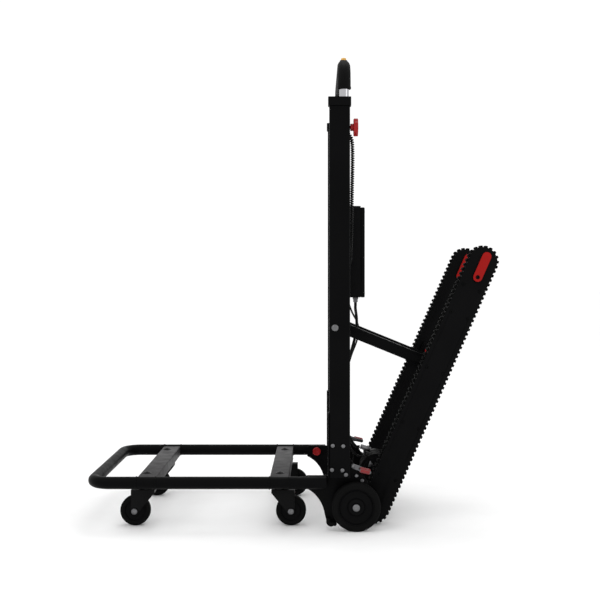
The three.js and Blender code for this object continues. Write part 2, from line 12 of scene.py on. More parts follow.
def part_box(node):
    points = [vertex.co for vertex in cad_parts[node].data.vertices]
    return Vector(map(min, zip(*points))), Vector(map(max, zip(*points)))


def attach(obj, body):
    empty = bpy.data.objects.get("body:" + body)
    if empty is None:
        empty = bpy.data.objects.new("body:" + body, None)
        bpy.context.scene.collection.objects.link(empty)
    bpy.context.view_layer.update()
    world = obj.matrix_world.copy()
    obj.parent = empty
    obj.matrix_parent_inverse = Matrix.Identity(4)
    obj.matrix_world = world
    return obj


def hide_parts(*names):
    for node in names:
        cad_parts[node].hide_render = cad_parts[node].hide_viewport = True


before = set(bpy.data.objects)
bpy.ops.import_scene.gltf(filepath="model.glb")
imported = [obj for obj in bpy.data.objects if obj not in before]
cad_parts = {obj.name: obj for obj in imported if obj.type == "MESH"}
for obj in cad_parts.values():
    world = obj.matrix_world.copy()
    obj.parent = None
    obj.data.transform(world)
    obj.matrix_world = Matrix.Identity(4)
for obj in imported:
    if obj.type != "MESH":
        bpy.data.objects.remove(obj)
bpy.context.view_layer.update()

MM = 0.001
SIDES = {"near": -1, "far": 1}


def middle(node):
    low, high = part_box(node)
    return (low + high) / 2


AXLE_X = middle("main_wheel_near").x / MM
WHEEL = 63.5  # carrying wheel's radius, and its axle's height
WHEEL_Y = 241.0

# platform tube: middle line, radius and corner bend, then its front and its open ends
TUBE_Y, TUBE_Z, TUBE_R, TUBE_BEND = 240.0, 125.0, 16.0, 48.0
TUBE_FRONT, TUBE_END = -690.4, -80.0

POST_Y, POST_HALF = 239.0, 15.0
PLATE_FACE = 223.7  # outer face of a side plate, from the middle
HANDLE_X, HANDLE_TOP, HANDLE_BEND = -31.0, 1219.0, 60.0
KNOB_Z = 1050.0
CASTER_Y, CASTER_WHEEL = 176.0, 40.0
PEDAL_Y = 240.5

# tracks: drive shaft, lean from upright, then the loop's straight length, middle and radius
SHAFT = (50.0, 46.0)
LEAN = math.radians(23.85)
TRACK_LENGTH, TRACK_Y, TRACK_R = 717.0, 165.0, 42.5
TRACK_FACE = 185.0  # outer face of a track, from the middle

STRUT = (-55.0, 529.0)
MOTOR = (62.0, 128.0)
CAMERA_PLACE = (-94.0, -2863.0, 684.0)
CAMERA_LENS = 60.5


def at(x, y, z):
    """A place in the frame, in metres."""
    return Vector(((AXLE_X + x) * MM, y * MM, z * MM))


def on_track(across, y, along):
    """A place on a leaning track, from its drive shaft."""
    x = SHAFT[0] + across * math.cos(LEAN) + along * math.sin(LEAN)
    z = SHAFT[1] - across * math.sin(LEAN) + along * math.cos(LEAN)
    return at(x, y, z)


# ------------------------------------------------------------------ camera, floor and lights
def add_camera():
    """A level camera square to the near side."""
    data = bpy.data.cameras.new("camera")
    data.sensor_width = 36
    data.lens = CAMERA_LENS
    data.shift_x, data.shift_y = -20 / 600, -32 / 600
    data.clip_end = 60
    camera = bpy.data.objects.new("camera", data)
    camera.location = at(*CAMERA_PLACE)
    camera.rotation_euler = (math.radians(90), 0, 0)
    bpy.context.scene.collection.objects.link(camera)
    bpy.context.scene.camera = camera


def add_light(name, place, target, size, power):
    """A square soft light at a place, turned to a target."""
    data = bpy.data.lights.new(name, "AREA")
    data.shape, data.size, data.energy = "SQUARE", size, power
    light = bpy.data.objects.new(name, data)
    light.location = place
    light.rotation_euler = (Vector(target) - Vector(place)).to_track_quat("-Z", "Y").to_euler()
    bpy.context.scene.collection.objects.link(light)


def add_studio():
    """A white world, three soft lights and a pale floor."""
    world = bpy.data.worlds.new("studio")
    world.use_nodes = True
    sky = world.node_tree.nodes["Background"]
    sky.inputs["Color"].default_value = (1, 1, 1, 1)
    sky.inputs["Strength"].default_value = 1.05
    bpy.context.scene.world = world
    bpy.context.scene.view_settings.view_transform = "Standard"
    add_light("key", (-2.6, -2.8, 3.4), (0, 0, 0.5), 1.6, 14)
    add_light("fill", (2.8, -2.2, 1.8), (0, 0, 0.5), 1.2, 7)
    add_light("top", (0.2, 0.8, 3.8), (0, 0, 0.4), 1.6, 16)
    bpy.ops.mesh.primitive_plane_add(size=60)
    floor = bpy.context.object
    floor.name = "floor"
    pale = material("pale_floor", (0.975, 0.975, 0.975), 0.9, grain=30, bump=0.0, shade=0.03,
                    specular=0.1)
    floor.data.materials.append(pale)


# ------------------------------------------------------------------ materials
def material(name, colour, rough, metal=0.0, grain=900, bump=0.05, shade=0.35, rough_span=0.12,
             coat=0.0, stretch=(1, 1, 1), specular=0.5):
    """A surface with fine grain, slow changes of shade and gloss, in the piece's own space."""
    mat = bpy.data.materials.new(name)
    mat.use_nodes = True
    nodes, links = mat.node_tree.nodes, mat.node_tree.links
    shader = nodes["Principled BSDF"]
    shader.inputs["Metallic"].default_value = metal
    shader.inputs["Coat Weight"].default_value = coat
    shader.inputs["Coat Roughness"].default_value = 0.12
    shader.inputs["Specular IOR Level"].default_value = specular
    place = nodes.new("ShaderNodeTexCoord")
    mapping = nodes.new("ShaderNodeMapping")
    mapping.inputs["Scale"].default_value = stretch
    links.new(place.outputs["Object"], mapping.inputs["Vector"])

    def noise(scale, detail):
        node = nodes.new("ShaderNodeTexNoise")
        node.inputs["Scale"].default_value = scale
        node.inputs["Detail"].default_value = detail
        links.new(mapping.outputs["Vector"], node.inputs["Vector"])
        return node.outputs["Fac"]

    def ramp(source, low, high):
        node = nodes.new("ShaderNodeValToRGB")
        node.color_ramp.elements[0].position, node.color_ramp.elements[1].position = 0.3, 0.7
        node.color_ramp.elements[0].color = (*low, 1)
        node.color_ramp.elements[1].color = (*high, 1)
        links.new(source, node.inputs["Fac"])
        return node.outputs["Color"]

    slow, fine = noise(9, 4), noise(grain, 3)
    dark = tuple(c * (1 - shade / 2) for c in colour)
    light = tuple(min(1, c * (1 + shade / 2)) for c in colour)
    links.new(ramp(slow, dark, light), shader.inputs["Base Color"])
    span = rough_span / 2
    gloss = ramp(noise(38, 5), (rough - span,) * 3, (rough + span,) * 3)
    links.new(gloss, shader.inputs["Roughness"])
    if bump:
        relief = nodes.new("ShaderNodeBump")
        relief.inputs["Strength"].default_value = bump
        relief.inputs["Distance"].default_value = 0.0006
        links.new(fine, relief.inputs["Height"])
        links.new(relief.outputs["Normal"], shader.inputs["Normal"])
    return mat


add_camera()
add_studio()

FINISH = {
    "black_paint": material("black_powder_coat", (0.0022, 0.0022, 0.0024), 0.42, grain=1400,
                            bump=0.12, specular=0.035),
    "grey_paint": material("grey_powder_coat", (0.0165, 0.0152, 0.0165), 0.5, grain=1400,
                           bump=0.14, specular=0.15),
    "black_alloy": material("black_anodised", (0.0024, 0.0024, 0.0026), 0.5, grain=1100,
                            bump=0.08, specular=0.04),
    "black_plastic": material("black_moulded", (0.0026, 0.0026, 0.0028), 0.5, grain=1900,
                              bump=0.2, specular=0.04),
    "caster_steel": material("black_coated_steel", (0.0032, 0.0032, 0.0034), 0.38, grain=900,
                             bump=0.06, specular=0.07),
    "tread_rubber": material("tread_rubber", (0.003, 0.003, 0.003), 0.78, grain=700, bump=0.3,
                             shade=0.6, specular=0.03),
    "wheel_rubber": material("wheel_rubber", (0.0034, 0.0034, 0.0034), 0.66, grain=800,
                             bump=0.2, shade=0.5, specular=0.04),
    "grip": material("grip_rubber", (0.003, 0.003, 0.003), 0.6, grain=1300, bump=0.35,
                     shade=0.4, specular=0.05),
    "red_plastic": material("red_moulded", (0.27, 0.003, 0.004), 0.32, grain=1500, bump=0.08,
                            shade=0.14, coat=0.1, specular=0.2),
    "red_paint": material("red_powder_coat", (0.29, 0.0035, 0.0025), 0.42, grain=1400,
                          bump=0.12, shade=0.16, specular=0.12),
    "red_rubber": material("red_rubber", (0.2, 0.004, 0.006), 0.6, grain=900, bump=0.2,
                           shade=0.3),
    "chrome": material("bright_plate", (0.44, 0.44, 0.455), 0.13, 1.0, grain=260, bump=0.03,
                       shade=0.06, rough_span=0.08, stretch=(1, 1, 0.1)),
    "steel": material("zinc_plate", (0.12, 0.12, 0.125), 0.36, 1.0, grain=500, bump=0.08,
                      shade=0.3),
    "brass": material("brass_plate", (0.62, 0.36, 0.10), 0.28, 1.0, grain=600, bump=0.05,
                      shade=0.2),
    "bolt_steel": material("dull_plate", (0.16, 0.16, 0.165), 0.34, 1.0, grain=500, bump=0.06,
                           shade=0.25),
    "cable": material("cable_sheath", (0.0034, 0.0034, 0.0034), 0.45, grain=900, bump=0.1,
                      specular=0.08),
    "board": material("circuit_board", (0.02, 0.12, 0.05), 0.4, grain=300, bump=0.1),
    "battery": material("cell_wrap", (0.03, 0.03, 0.05), 0.35, grain=400, bump=0.05, coat=0.3),
}


# ------------------------------------------------------------------ making and keeping pieces
def clear_selection():
    bpy.ops.object.select_all(action="DESELECT")


def only(obj):
    """Selects one piece and nothing else."""
    clear_selection()
    obj.select_set(True)
    bpy.context.view_layer.objects.active = obj


def edit(obj, work):
    """Runs edit-mode operators on the whole of a piece."""
    only(obj)
    bpy.ops.object.mode_set(mode="EDIT")
    bpy.ops.mesh.select_all(action="SELECT")
    work()
    bpy.ops.object.mode_set(mode="OBJECT")


def settle(obj):
    """Puts a piece's place into its mesh."""
    only(obj)
    bpy.ops.object.transform_apply(location=True, rotation=True, scale=True)
    return obj


def soften(obj, width, segments=2, angle=38):
    """Rounds the sharp edges of a piece and shades the rest smooth."""
    only(obj)
    if width:
        bevel = obj.modifiers.new("edges", "BEVEL")
        bevel.width, bevel.segments = width * MM, segments
        bevel.limit_method, bevel.angle_limit = "ANGLE", math.radians(angle)
        bpy.ops.object.modifier_apply(modifier=bevel.name)
    bpy.ops.object.shade_smooth_by_angle(angle=math.radians(angle))
    return obj


def keep(obj, name, body, look, *nodes):
    """Names a finished piece, gives it its look, and makes it ride on its body."""
    obj.name = name
    obj.data.materials.clear()
    obj.data.materials.append(FINISH[look])
    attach(obj, body)
    for node in nodes:
        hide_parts(node)
    return obj


# turns a shape made along Z to stand along another axis
TURN = {"X": Matrix.Rotation(math.radians(90), 4, "Y"),
        "Y": Matrix.Rotation(math.radians(-90), 4, "X"),
        "Z": Matrix.Identity(4)}


def turned(profile, centre, axis="Y", steps=64, flip=False):
    """A solid of revolution from a closed profile of (radius, height), along an axis."""
    clear_selection()
    bpy.ops.mesh.primitive_circle_add(vertices=len(profile), radius=0.01)
    obj = bpy.context.object
    way = -1 if flip else 1
    for vertex, (radius, height) in zip(obj.data.vertices, profile):
        vertex.co = (radius * MM, 0, way * height * MM)

    def spin():
        bpy.ops.mesh.spin(steps=steps, angle=2 * math.pi, center=(0, 0, 0), axis=(0, 0, 1))
        bpy.ops.mesh.select_all(action="SELECT")
        bpy.ops.mesh.remove_doubles(threshold=1e-6)
        bpy.ops.mesh.dissolve_degenerate(threshold=1e-7)
        bpy.ops.mesh.normals_make_consistent(inside=False)

    edit(obj, spin)
    obj.data.transform(Matrix.Translation(centre) @ TURN[axis])
    return obj


def rounded_block(low, high, width, segments=3):
    """A box between two corners, given in metres, with its edges rounded."""
    clear_selection()
    bpy.ops.mesh.primitive_cube_add(size=1, location=(low + high) / 2)
    obj = bpy.context.object
    obj.scale = [abs(b - a) for a, b in zip(low, high)]
    return soften(settle(obj), width, segments)


def refined(node, width, segments=2, angle=38):
    """A copy of a CAD piece with its loose triangles merged and its edges rounded."""
    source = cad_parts[node]
    obj = bpy.data.objects.new(node, source.data.copy())
    bpy.context.scene.collection.objects.link(obj)

    def clean():
        bpy.ops.mesh.remove_doubles(threshold=2e-6)
        bpy.ops.mesh.dissolve_limited(angle_limit=math.radians(0.6))

    edit(obj, clean)
    return soften(obj, width, segments, angle)


def copies(obj, places):
    """Copies of a piece at each place, as one piece."""
    made = []
    for place in places:
        twin = bpy.data.objects.new(obj.name, obj.data.copy())
        twin.data.transform(place if isinstance(place, Matrix) else Matrix.Translation(place))
        bpy.context.scene.collection.objects.link(twin)
        made.append(twin)
    bpy.data.objects.remove(obj)
    clear_selection()
    for twin in made:
        twin.select_set(True)
    bpy.context.view_layer.objects.active = made[0]
    bpy.ops.object.join()
    return bpy.context.object


def pipe(points, radius, rings=12, smooth=False):
    """A round bar along points in metres."""
    curve = bpy.data.curves.new("run", "CURVE")
    curve.dimensions = "3D"
    curve.bevel_depth, curve.bevel_resolution = radius * MM, rings // 2
    curve.use_fill_caps = True
    line = curve.splines.new("NURBS" if smooth else "POLY")
    line.points.add(len(points) - 1)
    for spot, point in zip(line.points, points):
        spot.co = (*point, 1)
    if smooth:
        line.order_u, line.resolution_u, line.use_endpoint_u = 4, 6, True
    obj = bpy.data.objects.new("run", curve)
    bpy.context.scene.collection.objects.link(obj)
    only(obj)
    bpy.ops.object.convert(target="MESH")
    edit(obj, lambda: bpy.ops.mesh.remove_doubles(threshold=1e-6))
    bpy.ops.object.shade_smooth_by_angle(angle=math.radians(50))
    return obj


def arc(centre, radius, start, end, steps, place):
    """Points round an arc in degrees. place turns two plane coordinates into a point."""
    turns = [math.radians(start + (end - start) * i / steps) for i in range(steps + 1)]
    return [place(centre[0] + radius * math.cos(t), centre[1] + radius * math.sin(t))
            for t in turns]


def along_curve(points, count):
    """Points spread evenly on a smooth curve through listed points."""
    ends = [points[0], *points, points[-1]]
    fine = []
    for a, b, c, d in zip(ends, ends[1:], ends[2:], ends[3:]):
        for i in range(16):
            t = i / 16
            fine.append(0.5 * (2 * b + (c - a) * t + (2 * a - 5 * b + 4 * c - d) * t ** 2
                               + (3 * b - a - 3 * c + d) * t ** 3))
    fine.append(points[-1])
    reach = [0.0]
    for a, b in zip(fine, fine[1:]):
        reach.append(reach[-1] + (b - a).length)
    spread, j = [], 0
    for i in range(count):
        want = reach[-1] * i / (count - 1)
        while j < len(reach) - 2 and reach[j + 1] < want:
            j += 1
        share = (want - reach[j]) / max(reach[j + 1] - reach[j], 1e-12)
        spread.append(fine[j].lerp(fine[j + 1], min(1, max(0, share))))
    return spread, reach[-1]


def button_bolt(radius, height, centre, axis, flip=False):
    """A domed socket bolt head whose flat side sits at centre."""
    socket = radius * 0.5
    profile = [(0, 0), (radius, 0), (radius, height * 0.35), (radius * 0.86, height * 0.78),
               (radius * 0.66, height), (socket, height), (socket * 0.94, height * 0.35),
               (0, height * 0.35)]
    return turned(profile, centre, axis, 24, flip)


def bolts(name, body, look, radius, height, places, axis="Y", flip=False):
    """A set of like bolt heads, kept as one piece."""
    head = button_bolt(radius, height, Vector(), axis, flip)
    soften(head, 0, angle=32)
    keep(copies(head, places), name, body, look)


# ------------------------------------------------------------------ posts, side plates, strut
POST_BOLTS = ((-61, 224), (-34, 223), (-63, 161.5), (-36, 160.5), (-27, 149))
PLATE_BOLTS = ((1.4, 140.3), (16, 127.5))
TOE_Y = 229.5
TOE_RIBS = ((-72, 25, 12), (-65, 16, -40), (-57, 16, -75))  # x, z and turn in degrees


def posts():
    """Posts with their caps, side plates and bolts, and the rails between them."""
    for side, way in SIDES.items():
        keep(refined("post_" + side, 1.0, 3), "post_tube_" + side, "frame", "black_paint",
             "post_" + side)
        keep(refined("post_cap_" + side, 1.4, 3), "cap_" + side, "frame", "black_plastic",
             "post_cap_" + side)
        keep(refined("side_plate_" + side, 0.7, 2), "gusset_" + side, "frame", "black_paint",
             "side_plate_" + side)
        bolts("post_bolts_" + side, "frame", "bolt_steel", 5.6, 3.2,
              [at(x, way * (POST_Y + POST_HALF), z) for x, z in POST_BOLTS], flip=way < 0)
        bolts("plate_bolts_" + side, "frame", "bolt_steel", 5.2, 3.0,
              [at(x, way * PLATE_FACE, z) for x, z in PLATE_BOLTS], flip=way < 0)
        rib = rounded_block(at(-76, way * 224, 20), at(-66, way * 235, 34), 4.0, 4)
        rib.data.transform(Matrix.Translation(-at(-71, way * TOE_Y, 27)))
        toes = copies(rib, [
            Matrix.Translation(at(x, way * TOE_Y, z)) @ Matrix.Rotation(math.radians(turn), 4, "Y")
            for x, z, turn in TOE_RIBS])
        keep(toes, "toe_bumper_" + side, "frame", "wheel_rubber")
    keep(refined("lower_crossbar", 1.0, 3), "foot_rail", "frame", "black_paint", "lower_crossbar")
    keep(refined("box_mount", 0.8, 2), "box_rails", "frame", "black_paint", "box_mount")


def strut():
    """The strut with its pin, its carriages and their lock knobs."""
    keep(refined("strut", 2.0, 3), "strut_bars", "strut", "black_paint", "strut")
    domed = [(0, -258), (4.2, -258), (7.4, -257), (9.3, -254.8), (9.3, -254.3), (8, -254.3),
             (8, 254.3), (9.3, 254.3), (9.3, 254.8), (7.4, 257), (4.2, 258), (0, 258)]
    shaft = soften(turned(domed, at(STRUT[0], 0, STRUT[1]), "Y", 48), 0.4)
    keep(shaft, "strut_pin", "frame", "bolt_steel", "strut_shaft")
    for side in SIDES:
        keep(refined("strut_carriage_" + side, 1.2, 3), "carriage_" + side, "strut_carriage",
             "black_alloy", "strut_carriage_" + side)
        keep(refined("strut_lock_knob_" + side, 0.8, 2), "lock_knob_" + side, "strut_lock_" + side,
             "red_plastic", "strut_lock_knob_" + side)


# ------------------------------------------------------------------ handle
def handle():
    """The sliding bar, its rubber grip with collars, and the drive button in its pocket."""
    def upright(y, z):
        return at(HANDLE_X, y, z)

    bend = (POST_Y - HANDLE_BEND, HANDLE_TOP - HANDLE_BEND)
    bends = (arc((-bend[0], bend[1]), HANDLE_BEND, 180, 90, 16, upright)
             + arc(bend, HANDLE_BEND, 90, 0, 16, upright))
    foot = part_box("handle_tube")[0].z / MM
    tube = pipe([upright(-POST_Y, foot), *bends, upright(POST_Y, foot)], 12.5, 24)
    keep(tube, "handle_bar", "handle", "chrome", "handle_tube")
    sleeve_foot = bend[1] - 10
    grip = pipe([upright(-POST_Y, sleeve_foot), *bends, upright(POST_Y, sleeve_foot)], 17.0, 24)
    soften(grip, 1.2, 3, 50)
    low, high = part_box("drive_button")
    button_x, button_y = (low.x + high.x) / 2, (low.y + high.y) / 2
    pocket_foot, pocket_depth = low.z / MM - 3.2, 30  # the button's travel is 3
    clear_selection()
    bpy.ops.mesh.primitive_cylinder_add(
        vertices=48, radius=7.35 * MM, depth=pocket_depth * MM,
        location=(button_x, button_y, (pocket_foot + pocket_depth / 2) * MM))
    pocket = bpy.context.object
    only(grip)
    bore = grip.modifiers.new("button_pocket", "BOOLEAN")
    bore.operation, bore.object, bore.solver = "DIFFERENCE", pocket, "EXACT"
    bpy.ops.object.modifier_apply(modifier=bore.name)
    bpy.data.objects.remove(pocket)
    keep(grip, "handle_grip_sleeve", "handle", "grip", "handle_grip")
    for side, way in SIDES.items():
        ring = turned([(12.9, -1), (16.6, -1), (17.8, 0.5), (17.8, 5), (16.8, 6.5), (12.9, 6.5)],
                      upright(way * POST_Y, sleeve_foot + 1), "Z", 40)
        keep(soften(ring, 0), "grip_collar_" + side, "handle", "grip")
    height = (high.z - low.z) / MM
    cap = [(0, 0), (7, 0), (7, height * 0.55), (6.2, height * 0.9), (4.5, height), (0, height)]
    button = turned(cap, Vector((button_x, button_y, low.z)), "Z", 40)
    keep(soften(button, 0.3), "thumb_button", "drive_button", "brass", "drive_button")
    bezel = turned([(7.6, -4), (10.5, -4), (10.5, -1), (9.6, 0), (7.6, 0)],
                   Vector((button_x, button_y, low.z + 0.0012)), "Z", 40)
    keep(soften(bezel, 0), "button_bezel", "handle", "black_plastic")


def clamp_knob():
    """The lobed knob behind the near post."""
    clear_selection()
    bpy.ops.mesh.primitive_cylinder_add(vertices=72, radius=23.5 * MM, depth=12 * MM)
    head = bpy.context.object
    for vertex in head.data.vertices:
        turn = math.atan2(vertex.co.y, vertex.co.x)
        dip = 1 - 0.085 * (0.5 - 0.5 * math.cos(7 * turn)) ** 1.5
        vertex.co.x, vertex.co.y = vertex.co.x * dip, vertex.co.y * dip
    soften(head, 2.2, 4, 50)
    head.data.transform(Matrix.Translation(at(-1, -POST_Y, KNOB_Z)) @ TURN["X"])
    keep(head, "knob_head", "clamp_knob", "red_plastic", "clamp_knob")
    stem = turned([(0, 0), (4, 0), (4, 3.2), (8.4, 3.2), (9.6, 4.6), (9.6, 12.5), (0, 12.5)],
                  at(-18.2, -POST_Y, KNOB_Z), "X", 32)
    keep(soften(stem, 0.4), "knob_neck", "clamp_knob", "red_plastic")
    insert = turned([(0, 0), (6.6, 0), (6.0, 0.8), (0, 0.8)], at(4.9, -POST_Y, KNOB_Z), "X", 32)
    keep(soften(insert, 0), "knob_insert", "clamp_knob", "black_plastic")


# ------------------------------------------------------------------ platform
def platform():
    """The bent tube, its crossbars, weld saddles and end plugs, and the fold release buttons."""
    def level(x, y):
        return at(x, y, TUBE_Z)

    bend = (TUBE_FRONT + TUBE_BEND, TUBE_Y - TUBE_BEND)
    run = [level(TUBE_END, -TUBE_Y), *arc((bend[0], -bend[1]), TUBE_BEND, 270, 180, 16, level),
           *arc(bend, TUBE_BEND, 180, 90, 16, level), level(TUBE_END, TUBE_Y)]
    keep(soften(pipe(run, TUBE_R, 28), 0.8, 2, 60), "platform_hoop", "platform", "black_paint",
         "platform_tube")
    for where, x in (("front", -547.0), ("rear", -200.5)):
        node = "platform_crossbar_" + where
        keep(refined(node, 0.8, 3), "crossbar_" + where, "platform", "grey_paint", node)
        washer = turned([(0, -0.4), (12, -0.4), (12, 0.9), (8.4, 1.2), (8.4, 2.0), (6.5, 2.8),
                         (4.4, 2.8), (4.2, 0.8), (0, 0.8)], Vector(), "Z", 32)
        soften(washer, 0)
        stem_x = x - 8 if where == "front" else x
        keep(copies(washer, [at(stem_x, way * CASTER_Y, 138) for way in (-1, 1)]),
             "stem_bolts_" + where, "platform", "caster_steel")
        weld = turned([(0, -1.5), (16.9, -1.5), (17.6, 0), (16.9, 1.5), (0, 1.5)],
                      Vector(), "X", 40)
        soften(weld, 0)
        places = [at(x + dx, way * TUBE_Y, TUBE_Z) for way in (-1, 1) for dx in (-25, 25)]
        keep(copies(weld, places), "tube_saddles_" + where, "platform", "black_paint")
    for side, way in SIDES.items():
        plug = turned([(0, -6), (13, -6), (13, 0), (16, 0), (16, 2.2), (13.5, 3.4), (0, 3.4)],
                      at(TUBE_END, way * TUBE_Y, TUBE_Z), "X", 40)
        keep(soften(plug, 0.3), "tube_plug_" + side, "platform", "black_plastic")
        button = turned([(0, 1.4), (7.5, 1.4), (8.6, 0), (10.8, 0), (12, 1.4), (12, 8), (6, 8),
                         (6, 41), (0, 41)],
                        at(-104, way * 204.7, TUBE_Z), "Y", 48, flip=way < 0)
        keep(soften(button, 0.3), "fold_release_" + side, "release_button_" + side, "red_plastic",
             "release_button_" + side)


def casters():
    """Four swivel casters, each with its plate, race, fork, wheel and bolt heads."""
    for where, x, trail in (("front", -555.0, -30.0), ("rear", -201.0, 30.0)):
        for side, way in SIDES.items():
            which = f"{where}_{side}"
            y = way * CASTER_Y
            fork = refined("caster_fork_" + which, 0.8, 2)
            keep(fork, "fork_" + which, "caster_" + which, "caster_steel", "caster_fork_" + which)
            hub_at = at(x + trail, y, CASTER_WHEEL)
            tyre = turned([(29, -11.5), (31, -12.6), (35, -12.6), (38.6, -10.4), (40, -6.5),
                           (40, 6.5), (38.6, 10.4), (35, 12.6), (31, 12.6), (29, 11.5)],
                          hub_at, "Y", 64)
            keep(soften(tyre, 0.5), "tread_" + which, "caster_roller_" + which, "wheel_rubber",
                 "caster_wheel_" + which)
            hub = turned([(5.5, -13), (11, -13), (12.5, -9), (25, -8), (27, -11), (29.3, -11.4),
                          (29.3, 11.4), (27, 11), (25, 8), (12.5, 9), (11, 13), (5.5, 13)],
                         hub_at, "Y", 64)
            keep(soften(hub, 0.5), "hub_" + which, "caster_roller_" + which, "black_plastic")
            for end in (-1, 1):
                head = button_bolt(8.2, 3.4, hub_at + Vector((0, end * 20.4 * MM, 0)), "Y",
                                   end < 0)
                facing = "outer" if end == way else "inner"
                keep(soften(head, 0.3), f"axle_head_{which}_{facing}", "caster_" + which,
                     "bolt_steel")
            plate = rounded_block(at(x - 26, y - 26, 104.6), at(x + 26, y + 26, 107.6), 1.0)
            keep(plate, "plate_" + which, "platform", "caster_steel")
            race = turned([(15, 0), (21, 0), (23, 2.4), (23, 4.4), (21.5, 5.6), (15, 5.6)],
                          at(x, y, 98.6), "Z", 48)
            keep(soften(race, 0.3), "race_" + which, "platform", "steel")
            bolts("plate_nuts_" + which, "platform", "steel", 4.2, 2.4,
                  [at(x + dx, y + dy, 104.6) for dx in (-20, 20) for dy in (-20, 20)], "Z",
                  flip=True)


# ------------------------------------------------------------------ wheels and brakes
def wheels():
    """The carrying wheels on their shoulder bolts, and the brake pedals over them."""
    for side, way in SIDES.items():
        centre = at(0, way * WHEEL_Y, WHEEL)
        tyre = [(47, -12), (48.5, -14.6), (54, -15), (59.5, -13.6), (62.6, -10.4)]
        for y in (-7.2, -2.4, 2.4, 7.2):
            tyre += [(WHEEL, y - 2.0), (WHEEL, y + 1.2), (62.5, y + 1.5), (62.5, y + 1.9)]
        tyre += [(63.3, 9.6), (62.6, 10.4), (59.5, 13.6), (54, 15), (48.5, 14.6), (47, 12)]
        body = "main_wheel_" + side
        keep(soften(turned(tyre, centre, "Y", 96), 0), "tyre_" + side, body, "wheel_rubber", body)
        dish = [(8.6, -12.6), (20, -12.6), (22, -10), (24, -6.5), (41, -5.5), (43.5, -8),
                (45, -12.5), (47.4, -13), (47.4, 13), (45, 12.5), (43.5, 8), (41, 5.5),
                (24, 6.5), (22, 10), (20, 12.6), (8.6, 12.6)]
        keep(soften(turned(dish, centre, "Y", 96), 0.6), "wheel_hub_" + side, body,
             "black_plastic")
        head = [(0, 3.2), (5.2, 3.2), (5.5, 6.0), (7.4, 6.0), (9.5, 4.2), (9.5, 0), (8, 0),
                (8, -42.5), (12, -42.5), (12, -50.5), (0, -50.5)]
        bolt = turned(head, at(0, way * 254, WHEEL), "Y", 48, way < 0)
        keep(soften(bolt, 0.3), "axle_bolt_" + side, "frame", "bolt_steel", "wheel_bolt_" + side)
        pedals(side, way)


def pedals(side, way):
    """A brake pedal with its ridged red sleeve, its pivot bolt and its link."""
    node = "brake_pedal_" + side
    keep(refined(node, 0.6, 2), "pedal_arm_" + side, node, "steel", node)
    slope = math.atan2(5, 22)
    lay = Matrix.Translation(at(23, way * PEDAL_Y, 156.5)) @ Matrix.Rotation(slope, 4, "Y")
    sleeve = rounded_block(Vector((-15, -10.5, -6.2)) * MM, Vector((15, 10.5, 6.2)) * MM, 4.6, 5)
    sleeve.data.transform(lay)
    keep(sleeve, "pedal_sleeve_" + side, node, "red_rubber")
    ridge = rounded_block(Vector((-0.8, -8.5, -0.8)) * MM, Vector((0.8, 8.5, 0.8)) * MM, 0.6, 2)
    ridges = copies(ridge, [lay @ Matrix.Translation(Vector((x, 0, 6.1)) * MM)
                            for x in (-9, -4.5, 0, 4.5, 9)])
    keep(ridges, "pedal_ridges_" + side, node, "red_rubber")
    bolts("pedal_pivot_" + side, "frame", "bolt_steel", 5.0, 3.0,
          [at(-8, way * 229.2, 166)], flip=way < 0)
    link, _ = along_curve(
        [at(-10, way * 215, 206), at(-6, way * 214, 190), at(-9, way * 214, 172)], 12)
    keep(pipe(link, 0.9, 6), "pedal_link_" + side, "frame", "caster_steel")


# ------------------------------------------------------------------ control box, leads, drive
def control_box():
    """The box with its lid and screws, and what it holds."""
    keep(refined("control_box", 1.6, 3), "box_shell", "frame", "black_plastic", "control_box")
    keep(refined("control_box_lid", 2.2, 4), "box_cover", "frame", "black_plastic",
         "control_box_lid")
    keep(refined("battery_pack", 2.0, 3), "cells", "frame", "battery", "battery_pack")
    keep(refined("control_board", 0.3, 1), "board", "frame", "board", "control_board")
    keep(refined("box_gland", 0.6, 2), "gland_nut", "frame", "steel", "box_gland")
    keep(refined("lead_gland", 0.6, 2), "lead_socket", "frame", "black_plastic", "lead_gland")
    low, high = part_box("control_box_lid")
    corners = [Vector((high.x, y, z)) for y in (low.y + 0.012, high.y - 0.012)
               for z in (low.z + 0.012, high.z - 0.012)]
    bolts("lid_screws", "frame", "steel", 3.4, 0.6, corners, "X")


CURLY_ROUTE = (
    (-26, -206.5, 1040), (-26, -203, 1040), (-18, -201, 1037), (-10, -200, 1022), (-8, -200, 995),
    (-8, -200, 950), (-9, -200, 900), (-10, -200, 850), (-11, -199, 805), (-12, -197, 765),
    (-13, -190, 735), (-13.5, -172, 712), (-14, -145, 700), (-14, -112, 697), (-14, -104, 697),
    (-14, -95.6, 697))
MOTOR_ROUTE = (
    (5, -45, 588.7), (5, -45, 580), (5, -45, 570), (8, -46, 545), (8, -47, 515), (1, -49, 480),
    (-10, -51, 440), (-19, -53, 400), (-23, -55, 350), (-23, -57, 300), (-21, -60, 255),
    (-15, -62, 222), (-4, -62, 200), (7, -62, 188), (12, -62, 188), (16.6, -62, 188))
SENSOR_ROUTE = (
    (-14, -25, 602.4), (-14, -25, 594), (-13, -26, 585), (-4, -30, 560), (9, -34, 535),
    (14, -36, 512), (9, -37, 480), (-6, -37, 440), (-18, -37, 395), (-22, -37, 340),
    (-22, -34, 285), (-21, -26, 240), (-17, -16, 205), (-9, -8, 178), (3, -2, 160),
    (13, 0, 152), (20, 0, 150), (26.4, 0, 150))


